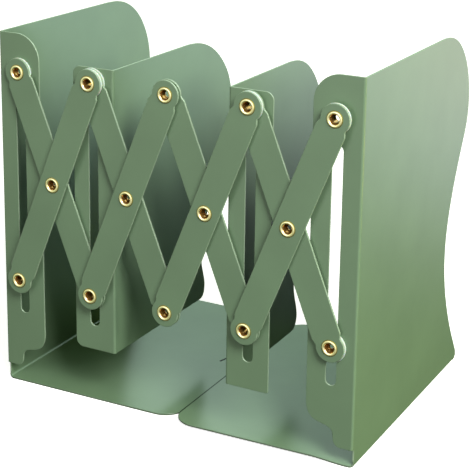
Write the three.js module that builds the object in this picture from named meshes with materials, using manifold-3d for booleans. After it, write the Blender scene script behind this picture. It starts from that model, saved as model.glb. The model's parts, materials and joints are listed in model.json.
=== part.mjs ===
// Expandable bookend: two sheet-steel ends and two sheet-steel dividers hung on a lazy-tongs (scissor) of eight flat bars.
// Millimetres, +Z up. The bars are at the front (-Y) and the books stand behind the flanges (+Y).
// The origin is on the floor, at the middle of the footprint.
import * as THREE from "three";
import { mergeVertices } from "three/addons/utils/BufferGeometryUtils.js";
import Module from "manifold-3d";

// ---- driving dimensions ----
const LINK = 118; // end pivot to end pivot along a bar
const PITCH = 43.7; // between neighbouring pivot columns in the state shown
const TOP_Z = 169; // height of the upper pivots
const BOTTOM_Z = TOP_Z - Math.sqrt(LINK * LINK - PITCH * PITCH);
const CROSS_Z = (TOP_Z + BOTTOM_Z) / 2;

const SHEET = 0.9; // panel sheet
const BEND_OUT = 1.9; // outer bend radius
const BEND_IN = BEND_OUT - SHEET;

const END_INSET = 12.4; // end panel's outer face to its pivot line
const END_FLANGE = 24.7; // width of an end flange
const END_TOP = 188.6; // height of an end panel
const END_CORNER = 13.5; // radius of an end flange's upper corner
const TAB_Z = 9.1; // underside of the tab at the foot of an end flange
const HEEL_Y = 139; // where the bottom bend stops at the rear

const DIVIDER_INSET = 12.0;
const DIVIDER_FLANGE = 24.2;
const DIVIDER_TOP = 176.2;
const DIVIDER_BOTTOM = 28.0;
const DIVIDER_CORNER = 4.2;

const SLOT_W = 5.4;
const SLOT_LOW = 39.5;
const SLOT_HIGH = 156;

const BASE_CORNER = 12; // free corners of a base plate
const LEFT_BASE = { length: 101.7, front: 1.4, rear: 144.5 };
const RIGHT_BASE = { length: 98.2, front: -1.0, rear: 141.5 };
const RISE = SHEET + 0.25; // the right base plate rides over the left one
const RISE_FROM = 4,
  RISE_TO = 21.5; // distance from the outer face over which it climbs

const BAR_T = 1.2;
const BAR_HALF = 7.6;
const HEAD_R = 7.2;
const HOLE_R = 2.75;
const FRONT_BAR_Y = -4.6; // front face of the front layer
const BACK_BAR_Y = -2.3; // front face of the back layer
const WASHER_T = 0.6;
const WASHER_GAP = 0.25;
const WASHER_R = 7.2; // nylon washers that show at the upper pivots
const SMALL_WASHER_R = 5.8;
const WASHER_HOLE = 2.8;
const SPACER_R = 5;

const EYE_BORE = 2.05;
const EYE_BARREL = 2.42;
const EYE_RIM = 3.9;
const EYE_PROUD = 0.7; // crest of a rim in front of the face it holds
const EYE_GAP = 0.2;
const ROUND = 12; // sides of a small round

const FRONT_Y = FRONT_BAR_Y - EYE_PROUD;
const CENTRE_Y = (FRONT_Y + LEFT_BASE.rear) / 2;

// rear edge of an end panel, from the top down: y, z
const END_EDGE = [
  [95, END_TOP], [102, 188.5], [108.2, 188.1], [114.4, 186.9], [119.5, 185.0],
  [124.5, 182.3], [129, 178.9], [133, 174.9], [136.4, 170.4], [139.7, 164.1],
  [142, 157], [143.2, 150.2], [143.5, 143.5], [142.4, 137.2], [139.9, 131.2],
  [136.4, 125.5], [132.8, 119.6], [129.7, 113.8], [127, 107.9], [124.6, 101.9],
  [122.5, 95.8], [120.7, 89.7], [119.2, 83.4], [118.1, 77.1], [117.5, 70.6],
  [117.5, 63.8], [118.5, 56.7], [120.5, 49.2], [123.3, 41.4], [126.9, 33.2],
  [131.5, 24.6], [137.4, 15.2], [143.0, 6.2], [144.0, 3.4], [143.2, 1.2], [141.2, 0.3],
];
const LEFT_DIVIDER_EDGE = [
  [72, DIVIDER_TOP], [79.5, 175.8], [84, 175.2], [88.3, 174.2], [92.6, 172.7],
  [97.1, 170.8], [101.6, 168.2], [106.2, 165], [110.9, 160.9], [115.6, 155.3],
  [119.3, 149], [121, 142.5], [121, 136.5], [119.5, 130], [116.8, 123],
  [113.4, 116], [110, 109], [106.6, 102], [103.2, 95], [99.9, 88], [96.7, 81],
  [93.7, 74], [91.2, 67], [89.5, 60], [88.9, 53.5], [89.5, 47], [91, 41.2],
  [92.4, 36.4], [92.9, 32.6], [91.4, 29.2], [87.8, DIVIDER_BOTTOM],
];
const RIGHT_DIVIDER_EDGE = [
  [60, DIVIDER_TOP], [68.2, 176.0], [72.9, 175.3], [77.7, 174], [82.6, 171.8],
  [87.6, 168.5], [91.5, 165.1], [95.5, 160.4], [99, 154.8], [101.8, 148.5],
  [103.3, 142], [103.4, 136], [102.1, 129.5], [99.7, 123], [96.8, 116],
  [93.8, 109], [90.8, 102], [87.8, 95], [84.8, 88], [81.9, 81], [79.1, 74],
  [76.5, 67], [74.4, 60], [73.4, 54.3], [74.1, 49], [76, 44], [77.9, 40],
  [78.6, 36.6], [78.1, 32.8], [75.6, 29.4], [71.2, DIVIDER_BOTTOM],
];
// lower edge of an end flange from its free edge to the tab: distance from the pivot line towards the free edge, z
const END_FOOT = [
  [END_FLANGE - END_INSET, 29.5], [11.9, 26], [11.0, 23.8], [9.6, 22.0], [7.8, 20.7],
  [5.5, 19.9], [3.0, 19.3], [0.8, 18.7], [-0.7, 17.8], [-1.6, 16.5], [-1.9, 14.8],
  [-2.0, 12.6], [-2.6, 10.9], [-3.9, 9.6], [-5.8, TAB_Z],
];

// ---- materials ----
const sage = () =>
  new THREE.MeshStandardMaterial({ color: 0x718f74, roughness: 0.48, metalness: 0.0 });
const brass = () =>
  new THREE.MeshStandardMaterial({ color: 0xc79a45, roughness: 0.28, metalness: 1.0 });
const nylon = () =>
  new THREE.MeshStandardMaterial({ color: 0xe9ece6, roughness: 0.4, metalness: 0.0 });

// ---- geometry helpers ----
const wasm = await Module();
wasm.setup();

function solid(geometry) {
  let g = geometry.clone();
  g.deleteAttribute("normal");
  g.deleteAttribute("uv");
  g = mergeVertices(g, 1e-4);
  return new wasm.Manifold(
    new wasm.Mesh({
      numProp: 3,
      vertProperties: new Float32Array(g.attributes.position.array),
      triVerts: new Uint32Array(g.index.array),
    }),
  );
}
function geometryOf(manifold) {
  const m = manifold.getMesh();
  const g = new THREE.BufferGeometry();
  g.setAttribute(
    "position",
    new THREE.BufferAttribute(new Float32Array(m.vertProperties), 3),
  );
  g.setIndex(new THREE.BufferAttribute(new Uint32Array(m.triVerts), 1));
  g.computeVertexNormals();
  return g;
}
const V = (p) => new THREE.Vector2(p[0], p[1]);
function arc(cx, cy, r, from, to, steps) {
  const pts = [];
  for (let i = 0; i <= steps; i++) {
    const a = THREE.MathUtils.degToRad(from + ((to - from) * i) / steps);
    pts.push([cx + r * Math.cos(a), cy + r * Math.sin(a)]);
  }
  return pts;
}
function circle(cx, cy, r, steps = ROUND) {
  return arc(cx, cy, r, 0, 360 - 360 / steps, steps - 1);
}
// points in counter-clockwise order, whichever way they were listed
function wound(points) {
  const pts = points.map(V);
  return THREE.ShapeUtils.area(pts) < 0 ? pts.reverse() : pts;
}
function extruded(outline, holes, depth) {
  const shape = new THREE.Shape(wound(outline));
  for (const h of holes) shape.holes.push(new THREE.Path(wound(h)));
  return new THREE.ExtrudeGeometry(shape, {
    depth,
    bevelEnabled: false,
    steps: 1,
  });
}
// outline in plan (x, y), standing between two heights
function planPrism(outline, z0, z1, holes = []) {
  const g = extruded(outline, holes, z1 - z0);
  g.translate(0, 0, z0);
  return g;
}
// outline in front view (x, z), running from y0 back to y1
function frontPrism(outline, y0, y1, holes = []) {
  const g = extruded(outline, holes, y1 - y0);
  g.rotateX(Math.PI / 2);
  g.translate(0, y1, 0);
  return g;
}
// outline in side view (y, z), running from x0 to x1
function sidePrism(outline, x0, x1) {
  const g = extruded(outline, [], x1 - x0);
  g.applyMatrix4(
    new THREE.Matrix4().makeBasis(
      new THREE.Vector3(0, 1, 0),
      new THREE.Vector3(0, 0, 1),
      new THREE.Vector3(1, 0, 0),
    ),
  );
  g.translate(x0, 0, 0);
  return g;
}
// a bent strip's section: a leg along +a of length la and a leg along +b of length lb, meeting in a round corner at (0, 0)
function angleSection(la, lb) {
  return [
    [la, 0],
    [la, SHEET],
    ...arc(BEND_OUT, BEND_OUT, BEND_IN, 270, 180, 4),
    [SHEET, lb],
    [0, lb],
    ...arc(BEND_OUT, BEND_OUT, BEND_OUT, 180, 270, 4),
  ];
}
const slotOutline = (x, z0, z1) => [
  ...arc(x, z1 - SLOT_W / 2, SLOT_W / 2, 0, 180, 6),
  ...arc(x, z0 + SLOT_W / 2, SLOT_W / 2, 180, 360, 6),
];

// ---- bent panels. side = +1 when the flange runs towards +X, -1 when it runs towards -X; face is the panel's outer face ----
const place = (side, face) => (p) => [face + side * p[0], p[1]];

function endPanel(side, face, base, raised) {
  const at = place(side, face);
  // flange and panel round the upright bend
  const upright = solid(planPrism(angleSection(END_FLANGE, 150).map(at), -1, 195));
  const side_view = solid(
    sidePrism(
      [
        [-1, TAB_Z],
        [-1, END_TOP],
        ...END_EDGE,
        [HEEL_Y + 0.6, 0.3],
        [HEEL_Y, BEND_OUT],
        [2, BEND_OUT],
        [2, TAB_Z],
      ],
      Math.min(at([-1, 0])[0], at([30, 0])[0]),
      Math.max(at([-1, 0])[0], at([30, 0])[0]),
    ),
  );
  const free = END_FLANGE;
  const front_view = solid(
    frontPrism(
      [
        [-1, -1],
        [BEND_OUT, -1],
        [BEND_OUT, TAB_Z],
        ...END_FOOT.map(([d, z]) => [d + END_INSET, z]).reverse(),
        ...arc(free - END_CORNER, END_TOP - END_CORNER, END_CORNER, 0, 90, 6),
        [-1, END_TOP],
      ].map(at),
      -2,
      160,
      [
        circle(END_INSET, TOP_Z, HOLE_R).map(at),
        slotOutline(END_INSET, SLOT_LOW, SLOT_HIGH).map(at),
      ],
    ),
  );
  const shell = upright.intersect(side_view).intersect(front_view);
  // foot: the bottom bend and the base plate
  const z1 = raised ? RISE : 0;
  const section = [
    [0, BEND_OUT + 0.4],
    ...arc(BEND_OUT, BEND_OUT, BEND_OUT, 180, 270, 4),
    ...(raised ? [[RISE_FROM, 0], [RISE_TO, z1]] : []),
    [base.length, z1],
    [base.length, z1 + SHEET],
    ...(raised ? [[RISE_TO, z1 + SHEET], [RISE_FROM, SHEET]] : []),
    ...arc(BEND_OUT, BEND_OUT, BEND_IN, 270, 180, 4),
    [SHEET, BEND_OUT + 0.4],
  ];
  const strip = solid(frontPrism(section.map(at), -5, 150));
  const rear = base.rear;
  const plan = solid(
    planPrism(
      [
        [-1, 2],
        [2.6, 2],
        [3.2, base.front],
        [base.length - BASE_CORNER, base.front],
        ...arc(base.length - BASE_CORNER, base.front + BASE_CORNER, BASE_CORNER, 270, 360, 6),
        ...arc(base.length - BASE_CORNER, rear - BASE_CORNER, BASE_CORNER, 0, 90, 6),
        [3.2, rear],
        [2.6, HEEL_Y],
        [-1, HEEL_Y],
      ].map(at),
      -1,
      5,
    ),
  );
  return geometryOf(shell.add(strip.intersect(plan)));
}

function divider(side, face, edge) {
  const at = place(side, face);
  const upright = solid(
    planPrism(angleSection(DIVIDER_FLANGE, 150).map(at), DIVIDER_BOTTOM - 2, DIVIDER_TOP + 2),
  );
  const side_view = solid(
    sidePrism(
      [[-1, DIVIDER_BOTTOM], [-1, DIVIDER_TOP], ...edge],
      Math.min(at([-1, 0])[0], at([30, 0])[0]),
      Math.max(at([-1, 0])[0], at([30, 0])[0]),
    ),
  );
  const c = DIVIDER_CORNER,
    f = DIVIDER_FLANGE;
  const front_view = solid(
    frontPrism(
      [
        [-1, DIVIDER_BOTTOM - 3],
        [BEND_OUT, DIVIDER_BOTTOM - 3],
        [BEND_OUT, DIVIDER_BOTTOM],
        ...arc(f - c, DIVIDER_BOTTOM + c, c, 270, 360, 4),
        ...arc(f - c, DIVIDER_TOP - c, c, 0, 90, 4),
        [BEND_OUT, DIVIDER_TOP],
        [BEND_OUT, DIVIDER_TOP + 3],
        [-1, DIVIDER_TOP + 3],
      ].map(at),
      -2,
      160,
      [
        circle(DIVIDER_INSET, TOP_Z, HOLE_R).map(at),
        slotOutline(DIVIDER_INSET, SLOT_LOW, SLOT_HIGH).map(at),
      ],
    ),
  );
  return geometryOf(upright.intersect(side_view).intersect(front_view));
}

// ---- a bar: round heads with a small neck, three holes; its long axis is local Z, its front face at local y 0 ----
function bar() {
  const half = LINK / 2;
  const quarter = [
    [BAR_HALF, 0],
    [BAR_HALF, half - 9.8],
    [7.4, half - 7.4],
    [6.9, half - 5.7],
    [6.25, half - 4.5],
    [6.45, half - 3.2],
  ];
  const top = [
    ...quarter.slice(1),
    ...arc(0, half, HEAD_R, 0, 180, 10),
    ...quarter.slice(1).map(([x, z]) => [-x, z]).reverse(),
  ];
  const outline = [...top, ...top.map(([x, z]) => [-x, -z])];
  return frontPrism(outline, 0, BAR_T, [
    circle(0, half, HOLE_R),
    circle(0, 0, HOLE_R),
    circle(0, -half, HOLE_R),
  ]);
}

function ring(outer, thickness) {
  return frontPrism(circle(0, 0, outer), 0, thickness, [circle(0, 0, WASHER_HOLE)]);
}

// a hollow rivet between two faces: rolled rims in front of the first and behind the second
function eyelet(front_face, rear_face) {
  const f = front_face - EYE_PROUD,
    b = rear_face + EYE_PROUD;
  const profile = [
    [EYE_BORE, f + 0.4],
    [2.5, f + 0.08],
    [3.0, f],
    [3.7, f + 0.22],
    [EYE_RIM, f + 0.5],
    [EYE_BARREL, f + EYE_PROUD - EYE_GAP],
    [EYE_BARREL, b - EYE_PROUD + EYE_GAP],
    [EYE_RIM, b - 0.5],
    [3.0, b],
    [EYE_BORE, b - 0.4],
    [EYE_BORE, f + 0.4],
  ];
  return new THREE.LatheGeometry(profile.map(V), ROUND);
}

// ---- assembly ----
const root = new THREE.Group();
root.position.set(0, -CENTRE_Y, 0);
const column = (k) => (k - 2) * PITCH;
function put(parent, name, geometry, material, x = 0, y = 0, z = 0, turn = 0) {
  const mesh = new THREE.Mesh(geometry, material);
  mesh.name = name;
  mesh.position.set(x, y, z);
  mesh.rotation.y = turn;
  parent.add(mesh);
  return mesh;
}

const ends = new THREE.Group();
root.add(ends);
put(ends, "left_end_panel", endPanel(1, column(0) - END_INSET, LEFT_BASE, false), sage());
put(ends, "right_end_panel", endPanel(-1, column(4) + END_INSET, RIGHT_BASE, true), sage());
put(ends, "left_divider", divider(-1, column(1) + DIVIDER_INSET, LEFT_DIVIDER_EDGE), sage());
put(ends, "right_divider", divider(1, column(3) - DIVIDER_INSET, RIGHT_DIVIDER_EDGE), sage());

const lean = Math.asin(PITCH / LINK);
const scissor = new THREE.Group();
root.add(scissor);
for (let k = 0; k < 4; k++) {
  const x = (column(k) + column(k + 1)) / 2;
  put(scissor, `front_bar_${k + 1}`, bar(), sage(), x, FRONT_BAR_Y, CROSS_Z, lean);
  put(scissor, `back_bar_${k + 1}`, bar(), sage(), x, BACK_BAR_Y, CROSS_Z, -lean);
}

const FRONT_FACE = FRONT_BAR_Y,
  BACK_FACE = BACK_BAR_Y,
  BACK_REAR = BACK_BAR_Y + BAR_T,
  FLANGE_REAR = SHEET;
const rivets = new THREE.Group();
root.add(rivets);
// front and rear faces that each eyelet holds
const upper = [
  [BACK_FACE, FLANGE_REAR],
  [FRONT_FACE, FLANGE_REAR],
  [FRONT_FACE, BACK_REAR],
  [FRONT_FACE, FLANGE_REAR],
  [FRONT_FACE, FLANGE_REAR],
];
const lower = [
  [FRONT_FACE, FLANGE_REAR],
  [FRONT_FACE, FLANGE_REAR],
  [FRONT_FACE, BACK_REAR],
  [FRONT_FACE, FLANGE_REAR],
  [BACK_FACE, FLANGE_REAR],
];
upper.forEach(([f, b], k) =>
  put(rivets, `eyelet_top_${k + 1}`, eyelet(f, b), brass(), column(k), 0, TOP_Z),
);
lower.forEach(([f, b], k) =>
  put(rivets, `eyelet_bottom_${k + 1}`, eyelet(f, b), brass(), column(k), 0, BOTTOM_Z),
);
for (let k = 0; k < 4; k++)
  put(
    rivets,
    `eyelet_cross_${k + 1}`,
    eyelet(FRONT_FACE, BACK_REAR),
    brass(),
    (column(k) + column(k + 1)) / 2,
    0,
    CROSS_Z,
  );

const washers = new THREE.Group();
root.add(washers);
const BETWEEN_BARS = FRONT_BAR_Y + BAR_T + WASHER_GAP;
const BEHIND_BARS = BACK_REAR + WASHER_GAP;
const between = (name, x, z, r) =>
  put(washers, name, ring(r, WASHER_T), nylon(), x, BETWEEN_BARS, z);
const behind = (name, x, z, r) =>
  put(washers, name, ring(r, WASHER_T), nylon(), x, BEHIND_BARS, z);
const spacer = (name, x, z) =>
  put(
    washers,
    name,
    ring(SPACER_R, -WASHER_GAP - BACK_BAR_Y),
    nylon(),
    x,
    BACK_BAR_Y,
    z,
  );
for (const k of [1, 2, 3, 4])
  between(`washer_bars_top_${k + 1}`, column(k), TOP_Z, k === 2 ? SMALL_WASHER_R : WASHER_R);
for (const k of [0, 1, 3])
  behind(`washer_panel_top_${k + 1}`, column(k), TOP_Z, WASHER_R);
spacer("spacer_top_5", column(4), TOP_Z);
for (const k of [0, 1, 2, 3])
  between(`washer_bars_bottom_${k + 1}`, column(k), BOTTOM_Z, SMALL_WASHER_R);
for (const k of [1, 3, 4])
  behind(`washer_panel_bottom_${k + 1}`, column(k), BOTTOM_Z, SMALL_WASHER_R);
spacer("spacer_bottom_1", column(0), BOTTOM_Z);
for (let k = 0; k < 4; k++)
  between(
    `washer_cross_${k + 1}`,
    (column(k) + column(k + 1)) / 2,
    CROSS_Z,
    SMALL_WASHER_R,
  );

export default root;
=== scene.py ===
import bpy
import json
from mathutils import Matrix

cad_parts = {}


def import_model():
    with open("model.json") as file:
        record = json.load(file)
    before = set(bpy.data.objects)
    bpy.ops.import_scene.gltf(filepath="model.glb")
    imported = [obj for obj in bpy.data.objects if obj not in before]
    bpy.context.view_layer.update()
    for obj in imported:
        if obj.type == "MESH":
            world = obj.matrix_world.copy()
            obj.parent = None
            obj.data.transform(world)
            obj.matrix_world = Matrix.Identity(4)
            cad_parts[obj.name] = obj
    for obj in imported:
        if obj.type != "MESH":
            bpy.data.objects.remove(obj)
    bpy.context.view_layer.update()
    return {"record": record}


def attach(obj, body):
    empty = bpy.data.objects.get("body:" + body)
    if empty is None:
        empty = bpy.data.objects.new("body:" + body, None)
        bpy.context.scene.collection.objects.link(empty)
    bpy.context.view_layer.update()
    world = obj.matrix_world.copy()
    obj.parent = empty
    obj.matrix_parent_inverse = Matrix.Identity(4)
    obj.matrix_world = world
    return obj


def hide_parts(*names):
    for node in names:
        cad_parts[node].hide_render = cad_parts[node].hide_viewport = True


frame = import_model()

import bpy
import json
import math
import numpy as np
from mathutils import Vector, Matrix
from mathutils.geometry import delaunay_2d_cdt

scene = bpy.context.scene

# ------------------------------------------------------------------ dimensions, millimetres
LINK = 118.0
PITCH = 43.7
TOP_Z = 169.0
BOTTOM_Z = TOP_Z - math.sqrt(LINK * LINK - PITCH * PITCH)
CROSS_Z = (TOP_Z + BOTTOM_Z) / 2
LEAN = math.asin(PITCH / LINK)

SHEET = 0.9
BEND_OUT = 1.2
MID_R = BEND_OUT - SHEET / 2
BEND_ARC = MID_R * math.pi / 2
RIM = 0.24                 # rounding of a cut edge under its coat

END_INSET, END_TOP, END_CORNER = 12.4, 188.6, 13.5
LEFT_FLANGE, RIGHT_FLANGE = 24.1, 25.1
TAB_Z, HEEL_Y, NOTCH_Y = 9.1, 139.0, 2.0
DIV_INSET, DIV_TOP, DIV_CORNER = 12.0, 176.2, 4.2
SLOT_W, SLOT_LOW, DIV_SLOT_LOW, SLOT_HIGH = 5.4, 39.8, 41.6, 156.0
HOLE_R = 2.75

BASE_CORNER = 12.0
LEFT_BASE = dict(length=101.7, front=2.3, fold=0.6, rear=144.5)
RIGHT_BASE = dict(length=98.2, front=-2.2, fold=0.6, rear=141.5)
RISE, RISE_FROM, RISE_TO = SHEET + 0.14, 4.0, 21.5

BAR_T, BAR_HALF, HEAD_R = 1.2, 7.6, 7.2
FRONT_BAR_Y, BACK_BAR_Y = -4.6, -2.3
FRONT_Y = FRONT_BAR_Y - 0.7
CENTRE_Y = (FRONT_Y + LEFT_BASE["rear"]) / 2

END_EDGE = [
    (95.01, 188.6), (101.88, 188.51), (108.67, 187.94), (115.24, 186.52), (121.43, 183.99), (127.12, 180.40),
    (132.15, 175.85), (136.39, 170.44), (139.73, 164.36), (142.06, 157.83), (143.31, 151.07), (143.36, 144.30),
    (142.15, 137.79), (139.69, 131.73), (136.53, 125.88), (133.26, 119.93), (130.10, 113.81), (127.10, 107.56),
    (124.37, 101.18), (121.99, 94.71), (120.03, 88.16), (118.58, 81.55), (117.72, 74.90), (117.53, 68.24),
    (118.05, 61.59), (119.20, 54.97), (120.91, 48.40), (123.13, 41.92), (125.77, 35.54), (128.77, 29.30),
    (132.06, 23.22), (135.58, 17.33), (139.25, 11.65), (142.6, 6.6), (143.8, 4.2), (143.9, 2.4), (143.0, 0.95), (141.3, 0.3),
]
LEFT_DIV_EDGE = [
    (72.01, 176.18), (77.75, 175.89), (83.42, 175.20), (88.95, 173.99), (94.28, 172.16), (99.36, 169.70),
    (104.20, 166.61), (108.77, 162.93), (112.93, 158.70), (116.46, 154.02), (119.13, 149.01), (120.72, 143.75),
    (120.98, 138.35), (120.22, 132.87), (118.54, 127.38), (116.30, 121.92), (113.77, 116.55), (111.22, 111.32),
    (108.70, 106.20), (106.22, 101.15), (103.76, 96.12), (101.31, 91.05), (98.87, 85.91), (96.47, 80.68),
    (94.22, 75.35), (92.22, 69.93), (90.56, 64.43), (89.34, 58.87), (88.77, 53.25), (89.28, 47.61),
    (91.04, 41.99), (92.45, 36.34), (91.95, 31.4), (90.3, 28.9), (87.6, 28.0),
]
RIGHT_DIV_EDGE = [
    (60.01, 176.20), (65.66, 176.05), (71.23, 175.49), (76.64, 174.28), (81.78, 172.22), (86.58, 169.33),
    (90.94, 165.71), (94.78, 161.50), (98.00, 156.80), (100.54, 151.73), (102.31, 146.41), (103.23, 140.95),
    (103.22, 135.47), (102.28, 130.05), (100.60, 124.70), (98.44, 119.41), (96.03, 114.18), (93.61, 108.99),
    (91.38, 103.85), (89.29, 98.73), (87.28, 93.61), (85.24, 88.47), (83.10, 83.30), (80.79, 78.07),
    (78.41, 72.78), (76.27, 67.45), (74.64, 62.08), (73.81, 56.70), (74.06, 51.31), (75.41, 45.89),
    (77.40, 40.43), (78.35, 35.06), (77.2, 31.0), (75.0, 28.8), (71.6, 28.0),
]
END_FOOT = [  # distance from the pivot line towards the free edge, height
    (12.3, 29.5), (12.0, 26.6), (11.2, 24.1), (9.75, 22.1), (7.8, 20.75), (5.5, 19.95), (3.0, 19.35), (0.9, 18.75),
    (-0.65, 17.8), (-1.55, 16.5), (-1.9, 14.8), (-2.05, 12.6), (-2.7, 10.9), (-3.95, 9.65), (-5.8, 9.1),
]


def column(k):
    return (k - 2) * PITCH


def world(x, y, z):
    return Vector((x * 0.001, (y - CENTRE_Y) * 0.001, z * 0.001))


# ------------------------------------------------------------------ camera
def make_camera():
    az, el, roll = math.radians(27.954), math.radians(13.910), math.radians(0.825)
    dist, f_px = 711.94, 1392.44
    target = Vector((90.550 - 2 * PITCH, 60.0, 152.799))
    d = Vector((-math.sin(az) * math.cos(el), math.cos(az) * math.cos(el), -math.sin(el)))
    r = Vector((math.cos(az), math.sin(az), 0))
    u = r.cross(d)
    r2 = math.cos(roll) * r + math.sin(roll) * u
    u2 = -math.sin(roll) * r + math.cos(roll) * u
    eye = target - dist * d
    cam_data = bpy.data.cameras.new("camera")
    cam_data.sensor_fit = "HORIZONTAL"
    cam_data.sensor_width = 36.0
    cam_data.lens = f_px / 470.0 * 36.0
    cam_data.shift_y = -133.84 / 470.0
    cam_data.clip_start = 0.01
    cam_data.clip_end = 50
    cam = bpy.data.objects.new("camera", cam_data)
    m = Matrix.Identity(4)
    for i in range(3):
        m[i][0], m[i][1], m[i][2] = r2[i], u2[i], -d[i]
    m.translation = world(*eye)
    cam.matrix_world = m
    scene.collection.objects.link(cam)
    scene.camera = cam


make_camera()

# ------------------------------------------------------------------ outline helpers


def arc(cx, cy, r, a0, a1, n):
    return [
        (cx + r * math.cos(math.radians(a0 + (a1 - a0) * i / n)), cy + r * math.sin(math.radians(a0 + (a1 - a0) * i / n)))
        for i in range(n + 1)
    ]


def circle(cx, cy, r, n):
    return arc(cx, cy, r, 0, 360 - 360 / n, n - 1)


def curve(points, step=1.6, first=None, last=None):
    """A smooth curve through the points; first and last are optional end directions."""
    p = [np.array(q, float) for q in points]
    t = [0.0]
    for a, b in zip(p, p[1:]):
        t.append(t[-1] + float(np.hypot(*(b - a))))
    m = []
    for i in range(len(p)):
        lo, hi = max(i - 1, 0), min(i + 1, len(p) - 1)
        m.append((p[hi] - p[lo]) / (t[hi] - t[lo]))
    if first is not None:
        m[0] = np.array(first, float)
    if last is not None:
        m[-1] = np.array(last, float)
    out = []
    for i in range(len(p) - 1):
        h = t[i + 1] - t[i]
        n = max(1, int(round(h / step)))
        for k in range(n):
            s = k / n
            out.append(
                (2 * s**3 - 3 * s**2 + 1) * p[i]
                + (s**3 - 2 * s**2 + s) * h * m[i]
                + (-2 * s**3 + 3 * s**2) * p[i + 1]
                + (s**3 - s**2) * h * m[i + 1]
            )
    out.append(p[-1])
    return [(float(q[0]), float(q[1])) for q in out]


def clean(loop, eps=1e-4):
    out = []
    for q in loop:
        if not out or math.hypot(q[0] - out[-1][0], q[1] - out[-1][1]) > eps:
            out.append(q)
    if math.hypot(out[0][0] - out[-1][0], out[0][1] - out[-1][1]) <= eps:
        out.pop()
    return out


def area(loop):
    a = np.array(loop)
    b = np.roll(a, -1, axis=0)
    return 0.5 * float(np.sum(a[:, 0] * b[:, 1] - b[:, 0] * a[:, 1]))


def split(loop, lines):
    """Adds points where the loop crosses a line; a line is (axis, value, low, high) with its extent on the other axis."""
    out = []
    n = len(loop)
    for i in range(n):
        a, b = loop[i], loop[(i + 1) % n]
        out.append(a)
        cuts = []
        for axis, value, low, high in lines:
            da, db = a[axis] - value, b[axis] - value
            if da * db < 0 and min(abs(da), abs(db)) > 1e-3:
                s = da / (da - db)
                q = (a[0] + s * (b[0] - a[0]), a[1] + s * (b[1] - a[1]))
                if low <= q[1 - axis] <= high:
                    cuts.append((s, q))
        out += [q for _, q in sorted(cuts)]
    return out


def long_edges(loop, longest):
    out = []
    n = len(loop)
    for i in range(n):
        a, b = loop[i], loop[(i + 1) % n]
        k = max(1, int(math.ceil(math.hypot(b[0] - a[0], b[1] - a[1]) / longest)))
        out += [(a[0] + (b[0] - a[0]) * j / k, a[1] + (b[1] - a[1]) * j / k) for j in range(k)]
    return out


def inward(loop):
    """Unit mitre vectors pointing into the material: the loop runs with the material on its left."""
    a = np.array(loop, float)
    e = np.roll(a, -1, axis=0) - a
    e /= np.linalg.norm(e, axis=1)[:, None]
    nrm = np.stack([-e[:, 1], e[:, 0]], axis=1)
    prev = np.roll(nrm, 1, axis=0)
    m = nrm + prev
    m /= np.linalg.norm(m, axis=1)[:, None]
    c = np.clip(np.sum(m * nrm, axis=1), 0.45, 1)
    return m / c[:, None], m


def inside(q, loop):
    x, y = q
    hit = False
    n = len(loop)
    for i in range(n):
        (x1, y1), (x2, y2) = loop[i], loop[(i + 1) % n]
        if (y1 > y) != (y2 > y) and x < (x2 - x1) * (y - y1) / (y2 - y1) + x1:
            hit = not hit
    return hit


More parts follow.
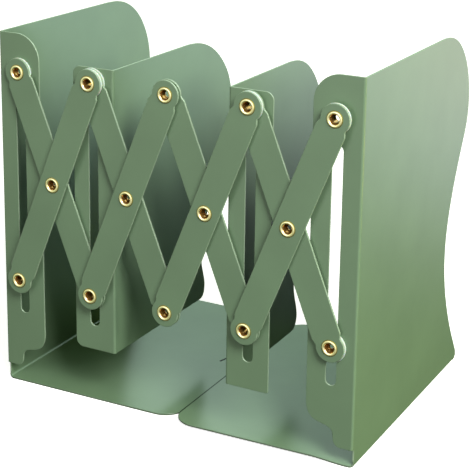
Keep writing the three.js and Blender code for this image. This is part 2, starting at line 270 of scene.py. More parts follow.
# ------------------------------------------------------------------ a cut and bent sheet
def plate(name, outline, holes, thickness, mapping, lines=(), rim=RIM, steps=3, longest=8.0, face=None):
    """outline and holes are (s, t) loops on the flat blank; mapping(s, t) gives a point on its outer face and the frame
    (along s, along t, into the sheet) of the bent shape. face(s, t) gives an optional (height, slope s, slope t) of a
    pressed form, which moves the sheet along its thickness."""
    loops = [outline] + list(holes)
    ready = []
    for i, loop in enumerate(loops):
        loop = long_edges(clean(split(clean(loop), lines)), longest if i == 0 else 40.0)
        if (area(loop) > 0) != (i == 0):
            loop = loop[::-1]
        ready.append(loop)
    profile = []
    for k in range(steps + 1):
        a = math.pi / 2 * k / steps
        profile.append((rim * (1 - math.sin(a)), rim * (1 - math.cos(a)), -math.cos(a), math.sin(a)))
    profile += [(d, thickness - n, -cn, cw) for d, n, cn, cw in reversed(profile)]
    verts, normals, rims, faces = [], [], [], []

    def add(s, t, n, ds, dt, dn):
        p, es, et, en = mapping(s, t)
        h = 0.0
        if face:
            h, hs, ht = face(s, t)
            dn2 = dn
            ds, dt = ds - hs * dn2, dt - ht * dn2
        q = p + (n + h) * en
        verts.append(q)
        v = es * ds + et * dt + en * dn
        normals.append(v.normalized())
        return len(verts) - 1

    caps = []
    for loop in ready:
        mitre, unit = inward(loop)
        for i, q in enumerate(loop):  # a point on a bend line slides along that line
            for axis, value, low, high in lines:
                if abs(q[axis] - value) < 1e-6 and low <= q[1 - axis] <= high:
                    mitre[i][axis] = 0.0
                    mitre[i][1 - axis] = 1 / math.copysign(max(abs(unit[i][1 - axis]), 0.5), unit[i][1 - axis])
        rows = []
        for d, n, dn, w in profile:
            row = []
            for (s, t), m, u in zip(loop, mitre, unit):
                row.append(add(s + m[0] * d, t + m[1] * d, n, -u[0] * w, -u[1] * w, dn))
                rims.append(w)
            rows.append(row)
        count = len(loop)
        for a, b in zip(rows, rows[1:]):
            for i in range(count):
                j = (i + 1) % count
                faces.append((a[i], a[j], b[j], b[i]))
        caps.append((loop, mitre, rows))
    # flat faces: the inset loops with the bend lines as constraints
    flat, index, edges = [], [], []
    for loop, mitre, rows in caps:
        start = len(flat)
        for (s, t), m, i0, i1 in zip(loop, mitre, rows[0], rows[-1]):
            flat.append((s + m[0] * rim, t + m[1] * rim))
            index.append((i0, i1))
        n = len(loop)
        edges += [(start + i, start + (i + 1) % n) for i in range(n)]
    inner = [[(s + m[0] * rim, t + m[1] * rim) for (s, t), m in zip(loop, mitre)] for loop, mitre, _ in caps]

    def in_material(q):
        return inside(q, inner[0]) and not any(inside(q, h) for h in inner[1:])

    for axis, value, low, high in lines:
        on = sorted(
            (flat[i][1 - axis], i)
            for i in range(len(flat))
            if abs(flat[i][axis] - value) < 2e-3 and low - 1 <= flat[i][1 - axis] <= high + 1
        )
        for (ca, ia), (cb, ib) in zip(on, on[1:]):
            mid = (value, (ca + cb) / 2) if axis == 0 else ((ca + cb) / 2, value)
            if cb - ca > 1e-3 and in_material(mid):
                edges.append((ia, ib))
    # inner points keep the triangles well shaped where the sheet is pressed out of flat
    extra = []
    if face:
        lo = np.min(np.array(flat), axis=0)
        hi = np.max(np.array(flat), axis=0)
        pts = face("points", (lo, hi))
        boundary = np.array(flat)
        for q in pts:
            if in_material(q) and np.min(np.hypot(boundary[:, 0] - q[0], boundary[:, 1] - q[1])) > 0.45:
                extra.append(q)
    base_count = len(flat)
    for q in extra:
        i0 = add(q[0], q[1], 0.0, 0, 0, -1.0)
        rims.append(0.0)
        i1 = add(q[0], q[1], thickness, 0, 0, 1.0)
        rims.append(0.0)
        flat.append(q)
        index.append((i0, i1))
    result = delaunay_2d_cdt([Vector(q) for q in flat], edges, [], 0, 1e-6, True)
    out_verts, out_faces, origin = result[0], result[2], result[3]
    names = []
    for i, o in enumerate(origin):
        if not o:
            raise RuntimeError(f"{name}: the cut outline crosses itself near {tuple(out_verts[i])}")
        names.append(o[0])
    for f in out_faces:
        tri = [names[i] for i in f]
        c = (sum(flat[i][0] for i in tri) / 3, sum(flat[i][1] for i in tri) / 3)
        if not in_material(c):
            continue
        a = area([flat[i] for i in tri])
        if a < 0:
            tri.reverse()
        faces.append(tuple(index[i][0] for i in reversed(tri)))
        faces.append(tuple(index[i][1] for i in tri))
    return solid_object(name, verts, faces, normals, rims)


def solid_object(name, verts, faces, normals=None, rims=None):
    """verts in millimetres in the part's own frame before it is centred."""
    mesh = bpy.data.meshes.new(name)
    pts = [world(*v) for v in verts]
    # orient every face outwards
    vol = 0.0
    for f in faces:
        for k in range(1, len(f) - 1):
            a, b, c = pts[f[0]], pts[f[k]], pts[f[k + 1]]
            vol += a.dot(b.cross(c))
    if vol < 0:
        faces = [tuple(reversed(f)) for f in faces]
    mesh.from_pydata([tuple(p) for p in pts], [], faces)
    mesh.update()
    mesh.validate()
    mesh.polygons.foreach_set("use_smooth", [True] * len(mesh.polygons))
    if rims is not None:
        att = mesh.attributes.new("rim", "FLOAT", "POINT")
        att.data.foreach_set("value", rims)
    if normals is not None:
        mesh.normals_split_custom_set_from_vertices([tuple(v) for v in normals])
    mesh.update()
    obj = bpy.data.objects.new(name, mesh)
    scene.collection.objects.link(obj)
    return obj


# ------------------------------------------------------------------ bent panels
def flank(x):
    """Position on the blank of a point at distance x from the bend's outer face, past a bend."""
    return 2 * BEND_OUT - BEND_ARC - x


def rise_at(x):
    t = min(max((x - RISE_FROM) / (RISE_TO - RISE_FROM), 0.0), 1.0)
    return RISE * t * t * (3 - 2 * t), RISE * 6 * t * (1 - t) / (RISE_TO - RISE_FROM)


def bent(side, face_x, raised=False, foot_out=BEND_OUT):
    """The mapping of a panel whose outer face is at face_x and whose flange and base run towards side."""
    foot_mid = foot_out - SHEET / 2
    foot_arc = foot_mid * math.pi / 2

    def turn(v):
        return Vector((side * v[0], v[1], v[2]))

    def f(s, t):
        if t >= foot_out or (s > HEEL_Y + 0.05 and t > 0):
            et = Vector((0, 0, 1))
            if s >= BEND_OUT:
                p, es, en = (0, s, t), (0, 1, 0), (1, 0, 0)
            elif s > BEND_OUT - BEND_ARC:
                a = (BEND_OUT - s) / MID_R
                p = (BEND_OUT - BEND_OUT * math.cos(a), BEND_OUT - BEND_OUT * math.sin(a), t)
                es, en = (-math.sin(a), math.cos(a), 0), (math.cos(a), math.sin(a), 0)
            else:
                p, es, en = (BEND_OUT + (BEND_OUT - BEND_ARC) - s, 0, t), (-1, 0, 0), (0, 1, 0)
        else:
            es = (0, 1, 0)
            if t > foot_out - foot_arc:
                a = (foot_out - t) / foot_mid
                p = (foot_out - foot_out * math.cos(a), s, foot_out - foot_out * math.sin(a))
                et, en = (-math.sin(a), 0, math.cos(a)), (math.cos(a), 0, math.sin(a))
            else:
                x = 2 * foot_out - foot_arc - t
                h, g = rise_at(x) if raised else (0.0, 0.0)
                c = 1 / math.sqrt(1 + g * g)
                p, et, en = (x, s, h), (-c, 0, -g * c), (-g * c, 0, c)
        q = turn(p)
        q.x += face_x
        return q, turn(es), turn(Vector(et)), turn(en)

    return f


BEND_STEPS = 8
UPRIGHT_LINES = [(0, BEND_OUT - BEND_ARC * i / BEND_STEPS, 3.0, 400.0) for i in range(BEND_STEPS + 1)]


def slot_loop(s, z0, z1):
    r = SLOT_W / 2
    return arc(s, z1 - r, r, 0, 180, 18) + arc(s, z0 + r, r, 180, 360, 18)


def end_panel(name, side, face_x, flange, base, raised, foot_out=BEND_OUT):
    foot_arc = (foot_out - SHEET / 2) * math.pi / 2

    def sole(x):
        """Position on the blank of a point of the base plate at distance x from the panel's outer face."""
        return 2 * foot_out - foot_arc - x

    foot = [(flank(d + END_INSET), z) for d, z in END_FOOT]
    length, front, fold, rear = base["length"], base["front"], base["fold"], base["rear"]
    c = BASE_CORNER
    lines = UPRIGHT_LINES + [(1, foot_out - foot_arc * i / BEND_STEPS, -60.0, HEEL_Y + 0.05) for i in range(BEND_STEPS + 1)]
    if raised:
        lines = lines + [
            (1, sole(RISE_FROM + (RISE_TO - RISE_FROM) * i / 10), -60.0, 400.0) for i in range(11)
        ]
    loop = []
    # up the flange's free edge, over its corner and along the top to the rear edge
    loop += arc(flank(flange - END_CORNER), END_TOP - END_CORNER, END_CORNER, 180, 90, 14)
    loop += [(s, min(t, END_TOP)) for s, t in curve(END_EDGE, 1.6, (1, 0), (-1, 0))]
    # heel, slit and the end of the bottom bend
    loop += [(139.95, 0.32), (139.6, 0.6), (139.42, 1.1)] + arc(139.19, foot_out, 0.19, 0, 180, 6)
    loop += [(HEEL_Y, foot_out - foot_arc), (HEEL_Y, sole(2.6))]
    loop += [(rear - 1.2, sole(3.15)), (rear - 0.35, sole(3.45)), (rear, sole(4.3))]
    # base plate: rear corner, free edge, front corner (distance from the outer face grows as t falls)
    loop += arc(rear - c, sole(length - c), c, 0, -90, 14)
    loop += arc(front + c, sole(length - c), c, 270, 180, 14)
    loop += [(fold, sole(foot_out + 0.7)), (fold + 0.25 * (NOTCH_Y - fold), sole(foot_out + 0.1)), (fold + 0.65 * (NOTCH_Y - fold), foot_out - 0.5 * foot_arc)]
    # front end of the bottom bend, up to the notch under the flange
    loop += [(NOTCH_Y, foot_out + 0.4), (NOTCH_Y, TAB_Z - (NOTCH_Y - BEND_OUT))]
    loop += arc(BEND_OUT, TAB_Z - (NOTCH_Y - BEND_OUT), NOTCH_Y - BEND_OUT, 0, 90, 5)
    # tab and the curved lower edge of the flange
    loop += curve(foot[::-1], 0.8, (-1, 0), (0, 1))
    holes = [circle(flank(END_INSET), TOP_Z, HOLE_R, 40), slot_loop(flank(END_INSET), SLOT_LOW, SLOT_HIGH)]
    return plate(name, loop, holes, SHEET, bent(side, face_x, raised, foot_out), lines)


def divider(name, side, face_x, edge, flange, bottom, low_corner):
    free = flank(flange)
    c = DIV_CORNER
    loop = [(BEND_OUT + 0.6, bottom)]
    loop += arc(free + low_corner, bottom + low_corner, low_corner, 270, 180, 10)
    loop += arc(free + c, DIV_TOP - c, c, 180, 90, 10)
    loop += curve(edge, 1.6, (1, 0), (-1, 0))
    holes = [circle(flank(DIV_INSET), TOP_Z, HOLE_R, 40), slot_loop(flank(DIV_INSET), DIV_SLOT_LOW, SLOT_HIGH)]
    return plate(name, loop, holes, SHEET, bent(side, face_x), UPRIGHT_LINES)


# ------------------------------------------------------------------ bars
def bar_outline():
    half = LINK / 2
    neck = [(7.6, half - 5.75), (7.46, half - 5.2), (7.12, half - 4.5), (6.84, half - 3.8), (6.7, half - 3.15)]
    a0 = math.degrees(math.atan2(-2.7, 6.7))
    head = arc(0, half, HEAD_R, a0, 180 - a0, 44)
    right = [(BAR_HALF, half - 8.5)] + curve(neck, 0.5, (-0.1, 1))
    top = right + head + [(-x, z) for x, z in right[::-1]]
    return top + [(-x, -z) for x, z in top]


def bar(name, k, front):
    """A bar between two pivot columns; its front face looks to -Y."""
    x0 = (column(k) + column(k + 1)) / 2
    y0 = FRONT_BAR_Y if front else BACK_BAR_Y
    a = LEAN if front else -LEAN
    ca, sa = math.cos(a), math.sin(a)

    def f(s, t):
        p = Vector((x0 + s * ca + t * sa, y0, CROSS_Z - s * sa + t * ca))
        return p, Vector((ca, 0, -sa)), Vector((sa, 0, ca)), Vector((0, 1, 0))

    half = LINK / 2
    holes = [circle(0, z, HOLE_R, 40) for z in (half, 0, -half)]
    return plate(name, bar_outline(), holes, BAR_T, f, rim=0.32, longest=6.0)


# ------------------------------------------------------------------ turned pieces
def lathe(name, profile, x, z, segments=64):
    """A closed (radius, y) profile turned about the Y axis at x, z."""
    verts, faces, rims = [], [], []
    n = len(profile)
    for i in range(segments):
        a = 2 * math.pi * i / segments
        for r, y in profile:
            verts.append((x + r * math.cos(a), y, z + r * math.sin(a)))
            rims.append(r)
    for i in range(segments):
        j = (i + 1) % segments
        for k in range(n):
            m = (k + 1) % n
            faces.append((i * n + k, i * n + m, j * n + m, j * n + k))
    return solid_object(name, verts, faces, None, rims)


def eyelet(name, front_face, rear_face, x, z, bore=1.3):
    """A hollow rivet: a rolled rim in front, a barrel, and the set rim behind."""
    f, b = front_face, rear_face
    seat = 0.03
    lip = [
        (1.86, f + 2.1), (1.93, f + 1.5), (2.02, f + 0.95), (2.13, f + 0.5), (2.26, f + 0.12), (2.41, f - 0.2), (2.6, f - 0.45),
        (2.86, f - 0.61), (3.14, f - 0.67), (3.4, f - 0.62), (3.62, f - 0.5), (3.82, f - 0.33), (4.0, f - 0.2), (4.09, f - 0.1),
    ]
    back = [
        (3.6, b + seat), (3.74, b + 0.06), (3.8, b + 0.16), (3.74, b + 0.34), (3.55, b + 0.52),
        (3.28, b + 0.63), (2.98, b + 0.65), (2.7, b + 0.57), (2.42, b + 0.38), (2.12, b + 0.2), (bore + 0.16, b - 0.05), (bore, b - 0.5), (bore, b - 0.9),
    ]
    front = curve(lip, 0.12, (0, -1), (0, 1)) + [(4.05, f - 0.05), (3.95, f - seat), (2.42, f - seat)]
    return lathe(name, front + [(2.42, b + seat)] + curve(back, 0.14, (1, 0), (0, -1)), x, z, 80)


def ring(name, inner, outer, y0, y1, x, z):
    e = min(0.18, (y1 - y0) * 0.3)
    p = [
        (inner, y0 + e), (inner + e * 0.3, y0 + e * 0.3), (inner + e, y0),
        (outer - e, y0), (outer - e * 0.3, y0 + e * 0.3), (outer, y0 + e),
        (outer, y1 - e), (outer - e * 0.3, y1 - e * 0.3), (outer - e, y1),
        (inner + e, y1), (inner + e * 0.3, y1 - e * 0.3), (inner, y1 - e),
    ]
    obj = lathe(name, p, x, z, 72)
    return obj


# ------------------------------------------------------------------ materials
def nodes_of(name):
    mat = bpy.data.materials.new(name)
    mat.use_nodes = True
    nt = mat.node_tree
    nt.nodes.clear()
    out = nt.nodes.new("ShaderNodeOutputMaterial")
    bsdf = nt.nodes.new("ShaderNodeBsdfPrincipled")
    nt.links.new(bsdf.outputs["BSDF"], out.inputs["Surface"])
    return mat, nt, bsdf


def noise(nt, coords, scale, detail=2.0, rough=0.5):
    n = nt.nodes.new("ShaderNodeTexNoise")
    n.inputs["Scale"].default_value = scale
    n.inputs["Detail"].default_value = detail
    n.inputs["Roughness"].default_value = rough
    nt.links.new(coords, n.inputs["Vector"])
    return n.outputs["Fac"]


def remap(nt, value, a, b, c, d):
    m = nt.nodes.new("ShaderNodeMapRange")
    m.inputs["From Min"].default_value = a
    m.inputs["From Max"].default_value = b
    m.inputs["To Min"].default_value = c
    m.inputs["To Max"].default_value = d
    nt.links.new(value, m.inputs["Value"])
    return m.outputs["Result"]


def product(nt, a, b):
    m = nt.nodes.new("ShaderNodeMath")
    m.operation = "MULTIPLY"
    nt.links.new(a, m.inputs[0])
    nt.links.new(b, m.inputs[1])
    return m.outputs[0]


def mix(nt, fac, a, b, mode="MIX"):
    m = nt.nodes.new("ShaderNodeMix")
    m.data_type = "RGBA"
    m.blend_type = mode
    if hasattr(fac, "is_output"):
        nt.links.new(fac, m.inputs["Factor"])
    else:
        m.inputs["Factor"].default_value = fac
    for v, key in ((a, "A"), (b, "B")):
        sock = [s for s in m.inputs if s.name == key and s.type == "RGBA"][0]
        if hasattr(v, "is_output"):
            nt.links.new(v, sock)
        else:
            sock.default_value = (*v, 1.0)
    return [s for s in m.outputs if s.type == "RGBA"][0]


def bump(nt, height, strength, distance, after=None):
    b = nt.nodes.new("ShaderNodeBump")
    b.inputs["Strength"].default_value = strength
    b.inputs["Distance"].default_value = distance
    nt.links.new(height, b.inputs["Height"])
    if after is not None:
        nt.links.new(after, b.inputs["Normal"])
    return b.outputs["Normal"]


def powder_coat(name, base, edge, rough=0.245, seam_shade=None, slit=None, crease=None):
    """Satin powder coat: faint clouding, a fine grain, a painted highlight as a paler line along every rounded cut
    edge, and painted shade on those edges near the floor.
    """
    mat, nt, bsdf = nodes_of(name)
    co = nt.nodes.new("ShaderNodeTexCoord").outputs["Object"]
    cloud = noise(nt, co, 26.0, 3.0)
    grain = noise(nt, co, 2300.0, 2.0, 0.6)
    peel = noise(nt, co, 620.0, 1.0)
    dark = tuple(v * 0.94 for v in base)
    light = tuple(min(1.0, v * 1.06) for v in base)
    col = mix(nt, remap(nt, cloud, 0.3, 0.7, 0.0, 1.0), dark, light)
    speck = mix(nt, remap(nt, grain, 0.35, 0.65, 0.0, 1.0), (0.99, 0.99, 0.99), (1.008, 1.008, 1.008))
    col = mix(nt, 1.0, col, speck, "MULTIPLY")
    rim = nt.nodes.new("ShaderNodeAttribute")
    rim.attribute_name = "rim"
    axes = nt.nodes.new("ShaderNodeSeparateXYZ")
    nt.links.new(co, axes.inputs["Vector"])
    # painted shade: within 2.5 to 4 mm of the floor the edge colour turns dark, 0.35 of the base colour
    edge = mix(nt, remap(nt, axes.outputs["Z"], 0.0025, 0.004, 0.0, 1.0), tuple(v * 0.35 for v in base), edge)
    # painted highlight: the rounded cut edges are painted paler, most on the middle of the edge
    col = mix(nt, remap(nt, rim.outputs["Fac"], 0.35, 1.0, 0.0, 0.72), col, edge)
    if seam_shade is not None:  # painted shade: a thin dark line along the edge of the plate that lies over the other, with its sheen turned down
        line = remap(nt, axes.outputs["X"], seam_shade + 0.0007, seam_shade + 0.0009, 1.0, 0.0)
        col = mix(nt, line, col, (0.012, 0.024, 0.012))
        nt.links.new(remap(nt, line, 0.0, 1.0, 0.5, 0.05), bsdf.inputs["Specular IOR Level"])
    if slit is not None:  # painted shade: the dark inside of a short narrow slit pressed into the base plate, painted as a dark mark with its sheen turned down: middle, direction, half length, half width
        (mx, my), turn, half_l, half_w = slit
        c, d = math.cos(turn), math.sin(turn)
        slit_shade_mask = None
        for (ax, ay), half in (((d, c), half_l), ((c, -d), half_w)):
            dot = nt.nodes.new("ShaderNodeVectorMath")
            dot.operation = "DOT_PRODUCT"
            dot.inputs[1].default_value = (ax, ay, 0)
            nt.links.new(co, dot.inputs[0])
            middle = mx * ax + my * ay
            for sign in (-1, 1):
                near = remap(nt, dot.outputs["Value"], middle + sign * half, middle + sign * (half - 0.00025), 0.0, 1.0)
                slit_shade_mask = near if slit_shade_mask is None else product(nt, slit_shade_mask, near)
        slit_shade_mask = product(nt, slit_shade_mask, remap(nt, axes.outputs["Z"], 0.002, 0.0015, 0.0, 1.0))
        col = mix(nt, slit_shade_mask, col, (0.004, 0.008, 0.004))
        shine = remap(nt, slit_shade_mask, 0.0, 1.0, 0.5, 0.05)
        if crease is not None:  # the coat lies duller in the tight inside of the foot bend
            (cx, cz) = crease
            inside_bend = product(nt, remap(nt, axes.outputs["X"], cx - 0.0002, cx + 0.0001, 1.0, 0.0),
                                  remap(nt, axes.outputs["Z"], cz - 0.0002, cz + 0.0001, 1.0, 0.0))
            shine = product(nt, shine, remap(nt, inside_bend, 0.0, 1.0, 1.0, 0.5))
        nt.links.new(shine, bsdf.inputs["Specular IOR Level"])
    nt.links.new(col, bsdf.inputs["Base Color"])
    nt.links.new(remap(nt, grain, 0.3, 0.7, rough - 0.01, rough + 0.02), bsdf.inputs["Roughness"])
    n = bump(nt, peel, 0.14, 0.00004)
    n = bump(nt, grain, 0.03, 0.00002, n)
    nt.links.new(n, bsdf.inputs["Normal"])
    bsdf.inputs["IOR"].default_value = 1.5
    return mat


def brass_metal(name):
    """Bright rolled brass: fine turning marks round the rim, darker and warmer down the bore, and painted shade as a
    dark olive band round the rim's outer edge.
    """
    mat, nt, bsdf = nodes_of(name)
    co = nt.nodes.new("ShaderNodeTexCoord").outputs["Object"]
    tone = noise(nt, co, 420.0, 3.0)
    fine = noise(nt, co, 3200.0, 2.0)
    col = mix(nt, remap(nt, tone, 0.3, 0.7, 0.0, 1.0), (0.86, 0.77, 0.40), (0.91, 0.85, 0.49))
    rad = nt.nodes.new("ShaderNodeAttribute")
    rad.attribute_name = "rim"
    col = mix(nt, remap(nt, rad.outputs["Fac"], 2.25, 2.72, 1.0, 0.0), col, (0.46, 0.24, 0.06))
    # painted shade: a dark olive band round the outer edge of the rolled rim, where it sits down on the paint
    col = mix(nt, remap(nt, rad.outputs["Fac"], 3.45, 3.8, 0.0, 1.0), col, (0.20, 0.185, 0.05))
    nt.links.new(remap(nt, rad.outputs["Fac"], 2.2, 2.6, 0.75, 1.0), bsdf.inputs["Metallic"])
    nt.links.new(col, bsdf.inputs["Base Color"])
    rough = nt.nodes.new("ShaderNodeMath")
    rough.operation = "ADD"
    nt.links.new(remap(nt, fine, 0.3, 0.7, 0.2, 0.34), rough.inputs[0])
    nt.links.new(remap(nt, rad.outputs["Fac"], 3.3, 3.65, 0.0, 0.4), rough.inputs[1])
    nt.links.new(rough.outputs[0], bsdf.inputs["Roughness"])
    nt.links.new(bump(nt, fine, 0.15, 0.00001), bsdf.inputs["Normal"])
    return mat


def white_nylon(name):
    mat, nt, bsdf = nodes_of(name)
    co = nt.nodes.new("ShaderNodeTexCoord").outputs["Object"]
    cloud = noise(nt, co, 500.0, 2.0)
    fine = noise(nt, co, 3000.0, 2.0)
    col = mix(nt, cloud, (0.60, 0.68, 0.63), (0.70, 0.78, 0.73))
    nt.links.new(col, bsdf.inputs["Base Color"])
    nt.links.new(remap(nt, fine, 0.3, 0.7, 0.3, 0.42), bsdf.inputs["Roughness"])
    nt.links.new(bump(nt, fine, 0.2, 0.00001), bsdf.inputs["Normal"])
    bsdf.inputs["Subsurface Weight"].default_value = 0.15
    bsdf.inputs["Subsurface Scale"].default_value = 0.0006
    return mat


SAGE = (0.172, 0.270, 0.163)
# painted highlight: the paler green painted along the rounded cut edges
SAGE_EDGE_HIGHLIGHT = (0.40, 0.52, 0.38)
coat = powder_coat("sage_powder_coat", SAGE, SAGE_EDGE_HIGHLIGHT)
FOOT_OUT = 2.0  # outside radius of the left foot bend, mm
# painted shade: a thin dark line along the right base plate's free edge, where it lies over the left one
coat_over = powder_coat("sage_powder_coat_over", SAGE, SAGE_EDGE_HIGHLIGHT, seam_shade=(column(4) + END_INSET - RIGHT_BASE["length"]) * 0.001)
# painted shade: the slit's dark inside, painted on the left base plate
coat_under = powder_coat("sage_powder_coat_under", SAGE, SAGE_EDGE_HIGHLIGHT, slit=((-0.0095, (77.6 - CENTRE_Y) * 0.001), math.radians(14.6), 0.005, 0.0008),
                         crease=((column(0) - END_INSET + FOOT_OUT) * 0.001, FOOT_OUT * 0.001))
brass = brass_metal("rolled_brass")
nylon = white_nylon("white_nylon")


def finish_piece(obj, node, body, material):
    obj.data.materials.append(material)
    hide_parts(node)
    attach(obj, body)
    return obj


# ------------------------------------------------------------------ the pieces
BODIES = frame["record"]["behaviour"]["bodies"]
BODY_OF = {n: b for b, ns in BODIES.items() for n in ns}


def add(node, obj, material, slot):
    return finish_piece(obj, node, BODY_OF[node], material)


add("left_end_panel", end_panel("left_end_sheet", 1, column(0) - END_INSET, LEFT_FLANGE, LEFT_BASE, False, FOOT_OUT), coat_under, "sage_coat")
add("right_end_panel", end_panel("right_end_sheet", -1, column(4) + END_INSET, RIGHT_FLANGE, RIGHT_BASE, True), coat_over, "sage_coat")
add("left_divider", divider("left_divider_sheet", -1, column(1) + DIV_INSET, LEFT_DIV_EDGE, 23.5, 28.7, 4.2), coat, "sage_coat")
add("right_divider", divider("right_divider_sheet", 1, column(3) - DIV_INSET, RIGHT_DIV_EDGE, 23.2, 27.6, 1.2), coat, "sage_coat")
for k in range(4):
    add(f"front_bar_{k + 1}", bar(f"front_bar_{k + 1}_strip", k, True), coat, "sage_coat")
    add(f"back_bar_{k + 1}", bar(f"back_bar_{k + 1}_strip", k, False), coat, "sage_coat")

REAR_BAR = BACK_BAR_Y + BAR_T
upper = [(BACK_BAR_Y, SHEET), (FRONT_BAR_Y, SHEET), (FRONT_BAR_Y, REAR_BAR), (FRONT_BAR_Y, SHEET), (FRONT_BAR_Y, SHEET)]
lower = [(FRONT_BAR_Y, SHEET), (FRONT_BAR_Y, SHEET), (FRONT_BAR_Y, REAR_BAR), (FRONT_BAR_Y, SHEET), (BACK_BAR_Y, SHEET)]
for k in range(5):
    add(f"eyelet_top_{k + 1}", eyelet(f"eyelet_top_{k + 1}_brass", *upper[k], column(k), TOP_Z, (1.3, 1.3, 1.45, 1.3, 1.65)[k]), brass, "brass")
    add(f"eyelet_bottom_{k + 1}", eyelet(f"eyelet_bottom_{k + 1}_brass", *lower[k], column(k), BOTTOM_Z, 1.0 if k == 4 else 1.3), brass, "brass")
for k in range(4):
    x = (column(k) + column(k + 1)) / 2
    add(f"eyelet_cross_{k + 1}", eyelet(f"eyelet_cross_{k + 1}_brass", FRONT_BAR_Y, REAR_BAR, x, CROSS_Z), brass, "brass")

G = 0.05
BETWEEN = (FRONT_BAR_Y + BAR_T + G, BACK_BAR_Y - G)
BEHIND = (REAR_BAR + G, -G)
WIDE, BIG, SMALL = 7.5, 7.25, 5.8


def washer(node, r, y, x, z):
    add(node, ring(node + "_ring", 2.8, r, y[0], y[1], x, z), nylon, "nylon")


for k in (1, 2, 3, 4):
    washer(f"washer_bars_top_{k + 1}", SMALL if k == 2 else BIG, BETWEEN, column(k), TOP_Z)
for k in (0, 1, 3):
    washer(f"washer_panel_top_{k + 1}", SMALL if k == 3 else BIG, BEHIND, column(k), TOP_Z)
for k in (0, 1, 2, 3):
    washer(f"washer_bars_bottom_{k + 1}", SMALL, BETWEEN, column(k), BOTTOM_Z)
for k in (1, 3, 4):
    washer(f"washer_panel_bottom_{k + 1}", WIDE if k == 4 else SMALL, BEHIND, column(k), BOTTOM_Z)
for k in range(4):
    washer(f"washer_cross_{k + 1}", SMALL, BETWEEN, (column(k) + column(k + 1)) / 2, CROSS_Z)
washer("spacer_top_5", 5.0, (BACK_BAR_Y, -G), column(4), TOP_Z)
washer("spacer_bottom_1", 5.0, (BACK_BAR_Y, -G), column(0), BOTTOM_Z)

# ------------------------------------------------------------------ floor and light
floor_mesh = bpy.data.meshes.new("floor")
floor_mesh.from_pydata([(-6, -6, 0), (6, -6, 0), (6, 6, 0), (-6, 6, 0)], [], [(0, 1, 2, 3)])
floor = bpy.data.objects.new("floor", floor_mesh)
floor.location.z = -0.00002
scene.collection.objects.link(floor)
mat, nt, bsdf = nodes_of("pale_floor")
co = nt.nodes.new("ShaderNodeTexCoord").outputs["Object"]
nt.links.new(mix(nt, noise(nt, co, 3.0), (0.86, 0.86, 0.85), (0.89, 0.89, 0.88)), bsdf.inputs["Base Color"])
bsdf.inputs["Roughness"].default_value = 0.6
bsdf.inputs["Emission Color"].default_value = (1, 1, 1, 1)
bsdf.inputs["Emission Strength"].default_value = 0.8
floor_mesh.materials.append(mat)
floor.visible_diffuse = False
floor.visible_glossy = False
floor.visible_shadow = False


def area_light(name, position, target, size, power, color=(1, 1, 1), size_y=None):
    data = bpy.data.lights.new(name, "AREA")
    data.shape = "RECTANGLE"
    data.size = size
    data.size_y = size_y or size
    data.energy = power
    data.color = color
    obj = bpy.data.objects.new(name, data)
    p, t = Vector(position), Vector(target)
    obj.location = p
    obj.rotation_euler = (t - p).to_track_quat("-Z", "Y").to_euler()
    obj.visible_camera = False
    scene.collection.objects.link(obj)
    return obj


area_light("key", (0.93, -0.73, 1.02), (0.0, 0.0, 0.1), 0.6, 22.5, (0.99, 0.985, 0.94))
area_light("side", (1.50, -0.20, 0.70), (0.0, 0.0, 0.15), 0.4, 9.3, (0.94, 0.97, 0.77))
area_light("front_fill", (-0.15, -1.35, 0.50), (0.0, 0.0, 0.1), 0.8, 4.2, (0.98, 0.985, 1.0))
area_light("low_right", (0.50, 0.08, 0.035), (0.1, 0.0, 0.05), 0.25, 0.38, (1.0, 0.86, 0.1), 0.08)

# The world: white behind the picture, a dim sky for light, and a brighter room for reflections, which is darker low down
# behind the object, as a desk would be.
w = bpy.data.worlds.new("studio")
scene.world = w
w.use_nodes = True
wt = w.node_tree
wt.nodes.clear()


def world_node(kind, **values):
    n = wt.nodes.new(kind)
    for key, v in values.items():
        setattr(n, key, v)
    return n


def background(strength=1.0, color=(1, 1, 1)):
    n = world_node("ShaderNodeBackground")
    n.inputs["Color"].default_value = (*color, 1)
    n.inputs["Strength"].default_value = strength
    return n


def ramp_of(value, stops):
    n = world_node("ShaderNodeValToRGB")
    ramp = n.color_ramp
    while len(ramp.elements) < len(stops):
        ramp.elements.new(0.5)
    for e, (pos, col) in zip(ramp.elements, stops):
        e.position = pos
        e.color = (*col, 1)
    wt.links.new(value, n.inputs["Fac"])
    return n.outputs["Color"]


way = world_node("ShaderNodeTexCoord")
xyz = world_node("ShaderNodeSeparateXYZ")
wt.links.new(way.outputs["Generated"], xyz.inputs["Vector"])
height = remap(wt, xyz.outputs["Z"], -1, 1, 0, 1)
sky = background()
wt.links.new(
    ramp_of(height, [(0.0, (0.02, 0.018, 0.008)), (0.47, (0.02, 0.018, 0.008)), (0.56, (0.016, 0.022, 0.007)),
                     (0.80, (0.085, 0.125, 0.045)), (1.0, (0.27, 0.35, 0.18))]),
    sky.inputs["Color"],
)
room = background(3.2)
back = ramp_of(height, [(0.0, (0.0, 0.0, 0.0)), (0.345, (0.0, 0.0, 0.0)), (0.357, (0.003, 0.012, 0.004)), (0.366, (0.012, 0.042, 0.016)),
                        (0.373, (0.05, 0.105, 0.075)), (0.381, (0.165, 0.262, 0.235)), (0.388, (0.34, 0.46, 0.45)), (0.395, (0.47, 0.64, 0.63)),
                        (0.41, (0.51, 0.67, 0.70)), (0.45, (0.48, 0.60, 0.62)), (0.52, (0.38, 0.50, 0.47)), (0.65, (0.25, 0.40, 0.30)),
                        (0.72, (0.40, 0.53, 0.44)), (1.0, (0.31, 0.35, 0.32))])
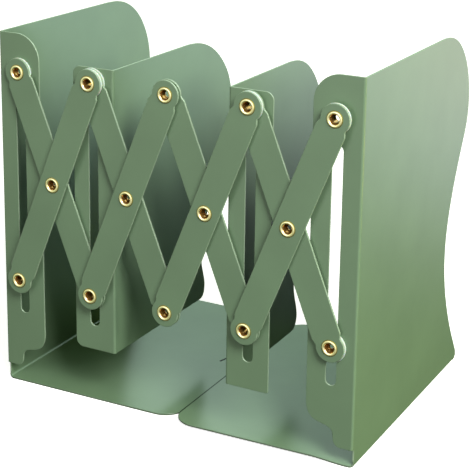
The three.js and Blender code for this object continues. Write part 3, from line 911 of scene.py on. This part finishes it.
right = ramp_of(height, [(0.0, (0.0, 0.0, 0.0)), (0.30, (0.0, 0.0, 0.0)), (0.325, (0.05, 0.05, 0.07)), (0.343, (0.24, 0.24, 0.29)),
                         (0.36, (0.39, 0.39, 0.49)), (0.375, (0.455, 0.435, 0.52)), (0.39, (0.585, 0.53, 0.54)), (0.42, (0.54, 0.48, 0.47)),
                         (0.52, (0.43, 0.46, 0.44)), (0.65, (0.18, 0.33, 0.21)), (0.70, (0.28, 0.44, 0.33)), (0.73, (0.55, 0.70, 0.66)), (1.0, (0.31, 0.35, 0.32))])
front = ramp_of(height, [(0.0, (0.04, 0.056, 0.03)), (0.28, (0.11, 0.132, 0.09)), (0.38, (0.29, 0.29, 0.27)), (0.5, (0.38, 0.38, 0.36)),
                         (0.65, (0.47, 0.47, 0.45)), (1.0, (0.37, 0.38, 0.39))])
right = mix(wt, 1.0, right, mix(wt, remap(wt, xyz.outputs["X"], 0.325, 0.365, 0, 1), (0.88, 0.88, 0.88), (1, 1, 1)), "MULTIPLY")
back = mix(wt, 1.0, back, mix(wt, remap(wt, xyz.outputs["X"], 0.495, 0.57, 0, 1), (0.95, 0.95, 0.97), (1.12, 1.12, 1.2)), "MULTIPLY")
front = mix(wt, 1.0, front, mix(wt, remap(wt, xyz.outputs["X"], -0.7, -0.35, 0, 1), (0.64, 0.72, 0.56), (1.14, 1.09, 1.16)), "MULTIPLY")
behind = mix(wt, remap(wt, xyz.outputs["X"], 0.375, 0.405, 0, 1), right, back)
# a brighter window high up behind, and a dimmer wall to its left
above = remap(wt, xyz.outputs["Z"], 0.415, 0.455, 0, 1)
window = world_node("ShaderNodeValToRGB")
while len(window.color_ramp.elements) < 8:
    window.color_ramp.elements.new(0.5)
for e, (pos, v) in zip(window.color_ramp.elements, [(0.0, 0.2), (0.247, 0.2), (0.26, 0.4), (0.271, 3.0), (0.284, 2.7), (0.298, 0.9), (0.32, 0.8), (0.60, 2.2)]):
    e.position = pos
    e.color = (v, v, v, 1)
wt.links.new(remap(wt, xyz.outputs["X"], -1, 1, 0, 1), window.inputs["Fac"])
behind = mix(wt, above, behind, mix(wt, 1.0, behind, window.outputs["Color"], "MULTIPLY"))
wt.links.new(mix(wt, remap(wt, xyz.outputs["Y"], -0.25, 0.25, 0, 1), front, behind), room.inputs["Color"])
path = world_node("ShaderNodeLightPath")
inner = world_node("ShaderNodeMixShader")
outer = world_node("ShaderNodeMixShader")
first = world_node("ShaderNodeMath", operation="LESS_THAN")   # the room shows in the pieces' own reflections only, it does not light them
wt.links.new(path.outputs["Ray Depth"], first.inputs[0])
first.inputs[1].default_value = 2.5
shown = world_node("ShaderNodeMath", operation="MULTIPLY")
wt.links.new(path.outputs["Is Glossy Ray"], shown.inputs[0])
wt.links.new(first.outputs[0], shown.inputs[1])
wt.links.new(shown.outputs[0], inner.inputs["Fac"])
wt.links.new(sky.outputs["Background"], inner.inputs[1])
wt.links.new(room.outputs["Background"], inner.inputs[2])
wt.links.new(path.outputs["Is Camera Ray"], outer.inputs["Fac"])
wt.links.new(inner.outputs["Shader"], outer.inputs[1])
wt.links.new(background().outputs["Background"], outer.inputs[2])
wt.links.new(outer.outputs["Shader"], world_node("ShaderNodeOutputWorld").inputs["Surface"])

scene.view_settings.view_transform = "Standard"
scene.view_settings.look = "None"
